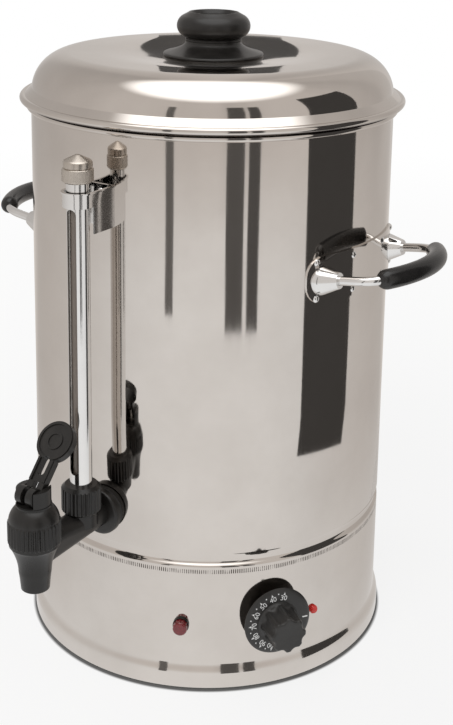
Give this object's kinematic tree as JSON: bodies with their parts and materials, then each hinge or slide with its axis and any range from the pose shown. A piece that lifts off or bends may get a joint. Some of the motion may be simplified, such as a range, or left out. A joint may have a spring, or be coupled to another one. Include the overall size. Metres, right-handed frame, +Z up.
{
  "type": "hot water urn",
  "caption": "Polished steel hot water urn with lift-off lid, self-closing lever tap, sight glass, side handles and a thermostat-controlled heated base.",
  "frame": {"origin": "on the tank's axis at the height of the feet's undersides", "axes": "+Z up along the tank's axis, -Y towards the tap, +X towards the right-hand handle as seen from the tap"},
  "size_m": [0.349, 0.3453, 0.4379],
  "materials": {
    "polished_steel": "mirror polish",
    "satin_steel": "satin",
    "zinc_steel": "zinc plated",
    "chrome_trim": "bright chrome",
    "black_plastic": "moulded, soft gloss",
    "dial_plastic": "moulded, plain white numbers",
    "black_rubber": "matt",
    "white_silicone": "matt",
    "clear_glass": "clear",
    "red_lens": "translucent, ribbed",
    "red_plastic": "gloss",
    "cast_aluminium": "cast",
    "element_steel": "heat tinted",
    "copper": "plain",
    "ceramic": "unglazed",
    "phenolic": "moulded",
    "brass_metal": "plain"
  },
  "bodies": {
    "urn": {"tank_shell": "polished_steel", "tank_bottom": "satin_steel", "base_skirt": "polished_steel", "base_plate": "zinc_steel", "rubber_feet": "black_rubber", "foot_screws": "zinc_steel", "foot_nuts": "zinc_steel", "tie_rod": "zinc_steel", "tie_nuts": "zinc_steel", "tap_body": "black_plastic", "tap_bonnet": "black_plastic", "tap_outer_washer": "black_rubber", "tap_inner_washer": "black_rubber", "tap_shank_nut": "satin_steel", "tap_spring": "satin_steel", "gauge_nut": "black_plastic", "gauge_lower_seal": "black_rubber", "gauge_glass": "clear_glass", "gauge_shield": "chrome_trim", "gauge_upper_seal": "black_rubber", "gauge_cap": "chrome_trim", "gauge_bracket": "chrome_trim", "gauge_bracket_screws": "chrome_trim", "thermostat_body": "ceramic", "thermostat_screws": "zinc_steel", "thermostat_bulb": "copper", "pilot_lens": "red_lens", "pilot_lamp_body": "black_plastic", "index_plug": "red_plastic", "heat_plate": "cast_aluminium", "heating_element": "element_steel", "element_clamp": "zinc_steel", "thermal_cutout": "phenolic", "terminal_block": "ceramic", "earth_stud": "brass_metal", "cord_gland": "black_plastic", "handle_plate_right": "polished_steel", "handle_bosses_right": "chrome_trim", "handle_rod_right": "chrome_trim", "handle_grip_right": "black_plastic", "handle_rivets_right": "chrome_trim", "handle_plate_left": "polished_steel", "handle_bosses_left": "chrome_trim", "handle_rod_left": "chrome_trim", "handle_grip_left": "black_plastic", "handle_rivets_left": "chrome_trim"},
    "lid": {"lid": "polished_steel", "lid_knob": "black_plastic", "lid_knob_screw": "satin_steel", "lid_knob_washer": "satin_steel"},
    "thermostat_dial": {"thermostat_knob": "dial_plastic", "thermostat_shaft": "zinc_steel"},
    "tap_plunger": {"tap_stem": "satin_steel", "tap_seat_cup": "white_silicone"},
    "tap_lever": {"tap_lever": "black_plastic", "tap_lever_pin": "satin_steel"}
  },
  "joints": [
    {"name": "lid_lift", "type": "slide", "parent": "urn", "child": "lid", "axis": [0, 0, 1], "range_m": [0, 0.12]},
    {"name": "thermostat_turn", "type": "hinge", "parent": "urn", "child": "thermostat_dial", "pos_m": [0.10138, -0.07312, 0.0499], "axis": [-0.8111, 0.585, 0], "range_deg": [0, 285]},
    {"name": "tap_plunger", "type": "slide", "parent": "urn", "child": "tap_plunger", "axis": [0, 0, 1], "range_m": [0, 0.0039], "deforming": ["tap_spring"]},
    {"name": "tap_lever", "type": "hinge", "parent": "tap_plunger", "child": "tap_lever", "pos_m": [0, -0.1943, 0.16], "axis": [1, 0, 0], "range_deg": [0, 50], "stiffness_Nm_per_rad": 0.05, "springref_deg": -28.65}
  ],
  "couplings": [
    {"joint": "tap_lever", "follows": "tap_plunger", "rad_per_m": 222}
  ]
}
